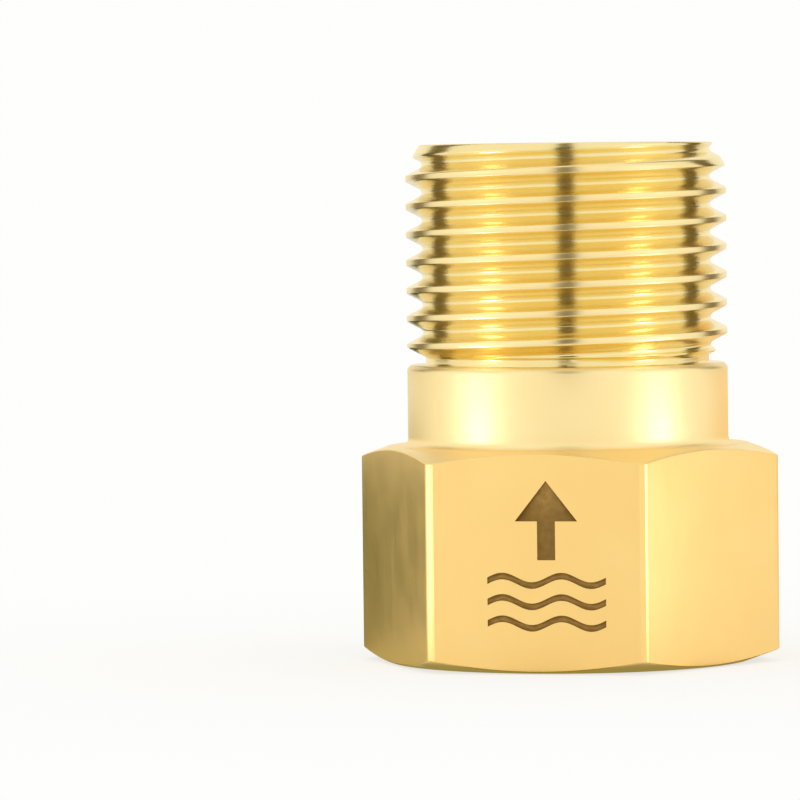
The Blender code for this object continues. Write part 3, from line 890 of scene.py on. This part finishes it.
def cage_leg(number, plastic):
    """A flat leg with rounded edges that stands on the ring and turns in to the hub."""
    angle = FIRST_LEG_ANGLE + 2 * math.pi * number / LEG_COUNT
    foot_z = (CAGE_RING_BOTTOM_Z + CAGE_RING_TOP_Z) / 2
    root_r = (POCKET_R + HUB_R) / 2
    arm_bottom_z = LEG_TOP_Z - LEG_ARM_HEIGHT
    outline = rounded(
        [
            (LEG_OUTER_R, foot_z),
            (LEG_OUTER_R, LEG_TOP_Z - EDGE),
            (LEG_OUTER_R - EDGE, LEG_TOP_Z),
            (root_r, LEG_TOP_Z),
            (root_r, arm_bottom_z),
            (LEG_INNER_R - EDGE, arm_bottom_z),
            (LEG_INNER_R, arm_bottom_z - EDGE),
            (LEG_INNER_R, foot_z),
        ],
        MOULD_RADIUS,
    )
    sideways = Vector((-math.sin(angle), math.cos(angle), 0)) * LEG_THICKNESS / 2
    middle = [at_angle(radius, z, angle) for radius, z in outline]
    leg = prism(
        f"leg_{number}",
        [point - sideways for point in middle],
        [point + sideways for point in middle],
        [plastic],
    )
    leg.modifiers.clear()
    bevel = leg.modifiers.new("soft_edges", "BEVEL")
    bevel.width = MOULD_RADIUS
    bevel.segments = 3
    bevel.limit_method = "ANGLE"
    bevel.angle_limit = math.radians(60)
    return leg


def cage_hub(plastic):
    outline = [
        (GUIDE_R, HUB_BOTTOM_Z),
        (POCKET_INNER_R, HUB_BOTTOM_Z),
        (POCKET_INNER_R, POCKET_TOP_Z),
        (POCKET_R, POCKET_TOP_Z),
        (POCKET_R, HUB_BOTTOM_Z),
        (HUB_R, HUB_BOTTOM_Z),
        (HUB_R, HUB_TOP_Z - EDGE),
        (HUB_R - EDGE, HUB_TOP_Z),
        (GUIDE_R + EDGE, HUB_TOP_Z),
        (GUIDE_R, HUB_TOP_Z - EDGE),
    ]
    return turned("hub", rounded(outline, MOULD_RADIUS * 2), [plastic])


def cartridge_cage(plastic):
    outline = [
        (CAGE_INNER_R, SKIRT_BOTTOM_Z),
        (SKIRT_R, SKIRT_BOTTOM_Z),
        (SKIRT_R, CAGE_RING_BOTTOM_Z),
        (CAGE_R, CAGE_RING_BOTTOM_Z),
        (CAGE_R, CAGE_RING_TOP_Z),
        (CAGE_INNER_R, CAGE_RING_TOP_Z),
    ]
    cage = turned("cage", rounded(outline, MOULD_RADIUS), [plastic])
    cage.modifiers.clear()
    legs = [cage_leg(number, plastic) for number in range(LEG_COUNT)]
    boolean(cage, "UNION", [*legs, cage_hub(plastic)])
    cage.data.set_sharp_from_angle(angle=SHARP_ANGLE)
    cage.modifiers.new("even_normals", "WEIGHTED_NORMAL").keep_sharp = True
    return cage


def poppet_stem(plastic):
    core_bottom_z = NOSE_TOP_Z + FIT_GAP
    outline = [
        (0, PIN_BOTTOM_Z),
        (PIN_R, PIN_BOTTOM_Z),
        (PIN_R, core_bottom_z),
        (SEAL_CORE_R, core_bottom_z),
        (SEAL_CORE_R, DISC_BOTTOM_Z),
        (DISC_R, DISC_BOTTOM_Z),
        (DISC_R, DISC_TOP_Z - EDGE),
        (DISC_R - EDGE, DISC_TOP_Z),
        (SPRING_BOSS_R, DISC_TOP_Z),
        (SPRING_BOSS_R, SPRING_BOSS_TOP_Z),
        (STEM_R, SPRING_BOSS_TOP_Z),
        (STEM_R, STEM_TOP_Z - EDGE),
        (STEM_R - EDGE, STEM_TOP_Z),
        (0, STEM_TOP_Z),
    ]
    return turned("stem", rounded(outline, MOULD_RADIUS), [plastic])


def poppet_seal(material):
    bottom_z = SEAT_Z + FIT_GAP
    top_z = DISC_BOTTOM_Z - FIT_GAP
    outline = [
        (SEAL_INNER_R, bottom_z),
        (SEAL_R - EDGE, bottom_z),
        (SEAL_R, bottom_z + EDGE),
        (SEAL_R, top_z - EDGE),
        (SEAL_R - EDGE, top_z),
        (SEAL_INNER_R, top_z),
    ]
    return turned("seal", rounded(outline, MOULD_RADIUS), [material])


def poppet_nose(plastic):
    rim_z = NOSE_TOP_Z - NOSE_RIM
    steps = 24
    dome = [
        (
            NOSE_R * math.sin(math.pi / 2 * i / steps),
            rim_z - (rim_z - NOSE_TIP_Z) * math.cos(math.pi / 2 * i / steps),
        )
        for i in range(1, steps + 1)
    ]
    pocket = rounded(
        [
            (NOSE_R, rim_z),
            (NOSE_R, NOSE_TOP_Z),
            (PIN_R + FIT_GAP, NOSE_TOP_Z),
            (PIN_R + FIT_GAP, PIN_BOTTOM_Z - FIT_GAP),
            (0, PIN_BOTTOM_Z - FIT_GAP),
            (0, rim_z),
        ],
        MOULD_RADIUS,
    )
    # The dome's last point stands for the pocket's first corner.
    inside = [point for point in pocket if point[1] > rim_z + MOULD_RADIUS or point[0] < NOSE_R / 2]
    return turned("nose", [(0, NOSE_TIP_Z), *dome, *inside[:-1]], [plastic])


def return_spring(steel):
    bottom_z = DISC_TOP_Z + FIT_GAP + SPRING_WIRE_R
    top_z = POCKET_TOP_Z - FIT_GAP - SPRING_WIRE_R
    open_turns = SPRING_TURNS - 2
    open_pitch = (top_z - bottom_z - 2 * SPRING_END_PITCH) / open_turns
    steps = round(SPRING_TURNS * 64)
    path = []
    for i in range(steps + 1):
        turn = SPRING_TURNS * i / steps
        opened = min(max(turn - 1, 0), open_turns)
        z = bottom_z + (turn - opened) * SPRING_END_PITCH + opened * open_pitch
        path.append(at_angle(SPRING_R, z, 2 * math.pi * turn))
    spring = wire("spring", path, SPRING_WIRE_R, [steel], sides=16)
    spring.modifiers.clear()
    return spring


def inlet_gasket(material):
    top_z = GASKET_BOTTOM_Z + GASKET_THICKNESS
    outline = [
        (GASKET_INNER_R, GASKET_BOTTOM_Z),
        (GASKET_R, GASKET_BOTTOM_Z),
        (GASKET_R, top_z),
        (GASKET_INNER_R, top_z),
    ]
    return turned("gasket", rounded(outline, MOULD_RADIUS), [material])


def cartridge_o_ring(material):
    middle_r = (O_RING_GROOVE_R + BORE_R) / 2
    sides = 32
    outline = [
        (
            middle_r + O_RING_HALF_WIDTH * math.cos(2 * math.pi * k / sides),
            O_RING_Z + O_RING_HALF_HEIGHT * math.sin(2 * math.pi * k / sides),
        )
        for k in range(sides)
    ]
    return turned("o_ring", outline, [material])


def snap_ring(steel):
    steps = 180
    start = math.pi / 2 + SNAP_RING_OPENING / 2
    sweep = 2 * math.pi - SNAP_RING_OPENING
    path = [
        at_angle(SNAP_RING_R, SNAP_GROOVE_Z, start + sweep * i / steps) for i in range(steps + 1)
    ]
    return wire("wire_ring", path, SNAP_WIRE_R, [steel])


def place(piece, node, body, slot):
    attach(piece, body)
    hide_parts(node)


def build_valve():
    plastic = acetal("white_acetal")
    soft_black = rubber("gasket_rubber", 0.55)
    seal_black = rubber("seal_rubber", 0.38)
    steel = drawn_steel("spring_steel")
    spring = return_spring(steel)
    place(brass_body(), "valve_body", "valve", "brass")
    place(inlet_gasket(soft_black), "inlet_gasket", "valve", "gasket_rubber")
    place(snap_ring(steel), "snap_ring", "valve", "spring_steel")
    place(cartridge_housing(plastic), "cartridge_housing", "valve", "white_acetal")
    place(cartridge_o_ring(seal_black), "cartridge_o_ring", "valve", "seal_rubber")
    place(cartridge_cage(plastic), "cartridge_cage", "valve", "white_acetal")
    place(poppet_stem(plastic), "poppet_stem", "poppet", "white_acetal")
    place(poppet_seal(seal_black), "poppet_seal", "poppet", "seal_rubber")
    place(poppet_nose(plastic), "poppet_nose", "poppet", "white_acetal")
    place(spring, "return_spring", "valve", "spring_steel")
    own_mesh(spring)


# --- studio -------------------------------------------------------------------------------------

CAMERA_AZIMUTH = math.radians(10.3)
CAMERA_DISTANCE = 371 * MM
CAMERA_HEIGHT = 30.5 * MM
CAMERA_TURN = math.radians(1.684)
CAMERA_DIP = math.radians(2.09)
CAMERA_ROLL = math.radians(0.655)
LENS_MM = 256.9
SENSOR_MM = 36
CLIP_START = 10 * MM

UP = Vector((0, 0, 1))
TOWARDS_CAMERA = Vector((math.sin(CAMERA_AZIMUTH), -math.cos(CAMERA_AZIMUTH), 0))
CAMERA_RIGHT = Vector((math.cos(CAMERA_AZIMUTH), math.sin(CAMERA_AZIMUTH), 0))

# Brightness of the light tent by direction: degrees to the right of the camera, and brightness.
TENT = [
    (-180, 1.0),
    (-92, 1.0),
    (-66, 1.35),
    (-40, 1.05),
    (0, 1.0),
    (40, 1.05),
    (66, 1.35),
    (92, 1.0),
    (180, 1.0),
]
TENT_PEAK = 1.5
TENT_TINT = (1.0, 0.98, 0.9)
ROOF_START, ROOF_FULL = 0.45, 0.55  # the upward part of a direction
# DARK and OLIVE are colours of painted reflections and painted shade, for the cards and sheets.
DARK = (0.13, 0.1, 0.035)
OLIVE = (0.085, 0.105, 0.02)
BACKDROP = (0.99, 0.99, 0.975, 1.0)

# Cards round the valve, seen only in the brass's reflections: the first and last direction, in the
# same degrees, the distance from the valve's axis, the heights of the lower and upper edge, and the
# colour. They are painted reflections: dark ones paint the thread's dark stripes, bright ones paint
# the collar's highlights, and the others paint an olive shade and a warm tint on the valve's sides.
CARDS = [
    ("dark_front", -4.5, 4.5, 14.5 * MM, 19.3 * MM, 70 * MM, DARK),
    ("dark_left", -98, -79, 14 * MM, 19.4 * MM, 70 * MM, DARK),
    ("dark_right", 77, 95, 14 * MM, 19.4 * MM, 70 * MM, DARK),
    ("bright_left", -63, -52, 35 * MM, 1 * MM, 15 * MM, (6.5, 6.5, 7.4)),
    ("bright_right", 53, 64, 35 * MM, 1 * MM, 15 * MM, (6.1, 6.1, 6.9)),
    ("olive_left", -172, -114, 50 * MM, 0.0, 12.5 * MM, OLIVE),
    ("warm_right", 112, 165, 35 * MM, 1 * MM, 19 * MM, (0.95, 0.7, 0.4)),
]
# Dark sheets on the table, seen only in the brass's reflections: the first and last direction, the
# inner and outer radius, the colour. They are painted shade on the left flat, and on the lower
# chamfer all round. Each lies a step above the one before.
SHEETS = [
    ("contact_shade", -180, 180, 10.5 * MM, 13.0 * MM, (0.32, 0.28, 0.11)),
    ("olive_near", -114, -50, 12.2 * MM, 22 * MM, (0.48, 0.46, 0.24)),
    ("olive_far", -172, -114, 12.2 * MM, 50 * MM, OLIVE),
]
SHEET_Z = -0.03 * MM
SHEET_STEP = 0.01 * MM
ARC_STEP = 8  # degrees between a card's or a sheet's creases

FLOOR_R = 300 * MM
FLOOR_Z = -0.05 * MM
FLOOR_COLOUR = (0.93, 0.93, 0.92, 1.0)
# The floor's share of backdrop, by distance from Z: the least to the first, the most from the last.
FADE_START_R, FADE_END_R = 20 * MM, 80 * MM
FADE_LEAST, FADE_MOST = 0.7, 1.0


def stepped(tree, value, start, end, low, high):
    inputs = {"Value": value, "From Min": start, "From Max": end, "To Min": low, "To Max": high}
    return add_node(tree, "ShaderNodeMapRange", inputs).outputs["Result"]


def tent_sides(tree, right, towards):
    """The colour of the tent's walls by direction round the valve."""
    turn = maths(tree, "ARCTAN2", right, towards)
    share = maths(tree, "MULTIPLY_ADD", turn, 1 / (2 * math.pi), 0.5)
    ramp = add_node(tree, "ShaderNodeValToRGB", {"Fac": share})
    stops = ramp.color_ramp.elements
    while len(stops) < len(TENT):
        stops.new(0.5)
    for stop, (degrees, brightness) in zip(stops, TENT):
        stop.position = degrees / 360 + 0.5
        stop.color = (*(part * brightness / TENT_PEAK for part in TENT_TINT), 1.0)
    inputs = {0: ramp.outputs["Color"], "Scale": TENT_PEAK}
    return add_node(tree, "ShaderNodeVectorMath", inputs, operation="SCALE").outputs[0]


def light_tent():
    """White panels all round, and a white roof."""
    world = bpy.data.worlds.new("light_tent")
    world.use_nodes = True
    bpy.context.scene.world = world
    tree = world.node_tree
    tree.nodes.clear()
    direction = add_node(tree, "ShaderNodeTexCoord").outputs["Generated"]

    def along(axis):
        inputs = {0: direction, 1: axis}
        made = add_node(tree, "ShaderNodeVectorMath", inputs, operation="DOT_PRODUCT")
        return made.outputs["Value"]

    towards, right, up = along(TOWARDS_CAMERA), along(CAMERA_RIGHT), along(UP)
    sides = tent_sides(tree, right, towards)
    overhead = stepped(tree, up, ROOF_START, ROOF_FULL, 0.0, 1.0)
    whole = add_node(tree, "ShaderNodeMix", {"Factor": overhead}, data_type="RGBA")
    tree.links.new(sides, whole.inputs[6])
    whole.inputs[7].default_value = (1.0, 1.0, 1.0, 1.0)
    tent = add_node(tree, "ShaderNodeBackground", {"Color": whole.outputs[2]})
    plain = add_node(tree, "ShaderNodeBackground", {"Color": BACKDROP})
    seen = add_node(tree, "ShaderNodeLightPath").outputs["Is Camera Ray"]
    mixed = add_node(tree, "ShaderNodeMixShader", {0: seen})
    tree.links.new(tent.outputs[0], mixed.inputs[1])
    tree.links.new(plain.outputs[0], mixed.inputs[2])
    add_node(tree, "ShaderNodeOutputWorld", {"Surface": mixed.outputs[0]})


def glow(tree, colour):
    return add_node(tree, "ShaderNodeEmission", {"Color": colour}).outputs[0]


def surface(material, shader):
    output = material.node_tree.nodes["Material Output"]
    material.node_tree.links.new(shader, output.inputs["Surface"])


def pale_floor():
    """A round white table. To the camera it is part backdrop, so that its shadows stay faint."""
    shape = bmesh.new()
    bmesh.ops.create_circle(shape, cap_ends=True, segments=96, radius=FLOOR_R)
    mesh = bpy.data.meshes.new("floor")
    shape.to_mesh(mesh)
    shape.free()
    material, tree, shader = new_material("white_table")
    shader.inputs["Base Color"].default_value = FLOOR_COLOUR
    shader.inputs["Roughness"].default_value = 0.9
    shader.inputs["Specular IOR Level"].default_value = 0.0
    seen = add_node(tree, "ShaderNodeLightPath").outputs["Is Camera Ray"]
    radius, _ = ring_coordinates(tree)
    fade = stepped(tree, radius, FADE_START_R, FADE_END_R, FADE_LEAST, FADE_MOST)
    share = maths(tree, "MULTIPLY", seen, fade)
    mixed = add_node(tree, "ShaderNodeMixShader", {0: share, 1: shader.outputs[0]})
    tree.links.new(glow(tree, BACKDROP), mixed.inputs[2])
    surface(material, mixed.outputs[0])
    floor = link_object("floor", mesh, [material])
    floor.location.z = FLOOR_Z


def studio_direction(degrees):
    turn = math.radians(degrees)
    return TOWARDS_CAMERA * math.cos(turn) + CAMERA_RIGHT * math.sin(turn)


def arc(first, last):
    """Even directions from first to last."""
    steps = math.ceil((last - first) / ARC_STEP)
    return [first + (last - first) * i / steps for i in range(steps + 1)]


def reflected_only(name, pairs, colour):
    """A strip through pairs of points that gives light only to what brass reflects."""
    shape = bmesh.new()
    made = [(shape.verts.new(low), shape.verts.new(high)) for low, high in pairs]
    for (low, high), (next_low, next_high) in zip(made, made[1:]):
        shape.faces.new((low, next_low, next_high, high))
    mesh = bpy.data.meshes.new(name)
    shape.to_mesh(mesh)
    shape.free()
    material, tree, _ = new_material(name)
    surface(material, glow(tree, (*colour, 1.0)))
    card = link_object(name, mesh, [material])
    card.visible_camera = False
    card.visible_diffuse = False
    card.visible_transmission = False
    card.visible_shadow = False


def studio_cards():
    for name, first, last, distance, low_z, high_z, colour in CARDS:
        feet = [studio_direction(turn) * distance for turn in arc(first, last)]
        reflected_only(name, [(foot + UP * low_z, foot + UP * high_z) for foot in feet], colour)
    for number, (name, first, last, inner_r, outer_r, colour) in enumerate(SHEETS):
        lift = UP * (SHEET_Z + number * SHEET_STEP)
        out = [studio_direction(turn) for turn in arc(first, last)]
        reflected_only(name, [(way * inner_r + lift, way * outer_r + lift) for way in out], colour)


def camera():
    data = bpy.data.cameras.new("camera")
    data.lens = LENS_MM
    data.sensor_width = SENSOR_MM
    data.clip_start = CLIP_START
    made = bpy.data.objects.new("camera", data)
    bpy.context.scene.collection.objects.link(made)
    ahead = (
        -TOWARDS_CAMERA - CAMERA_RIGHT * math.tan(CAMERA_TURN) - UP * math.tan(CAMERA_DIP)
    ).normalized()
    right = ahead.cross(UP).normalized()
    above = right.cross(ahead)
    rolled_right = right * math.cos(CAMERA_ROLL) - above * math.sin(CAMERA_ROLL)
    rolled_up = above * math.cos(CAMERA_ROLL) + right * math.sin(CAMERA_ROLL)
    turn = Matrix((rolled_right, rolled_up, -ahead)).transposed().to_4x4()
    position = TOWARDS_CAMERA * CAMERA_DISTANCE + UP * CAMERA_HEIGHT
    made.matrix_world = Matrix.Translation(position) @ turn
    bpy.context.scene.camera = made


build_valve()
light_tent()
pale_floor()
studio_cards()
camera()
bpy.context.scene.view_settings.view_transform = "Standard"
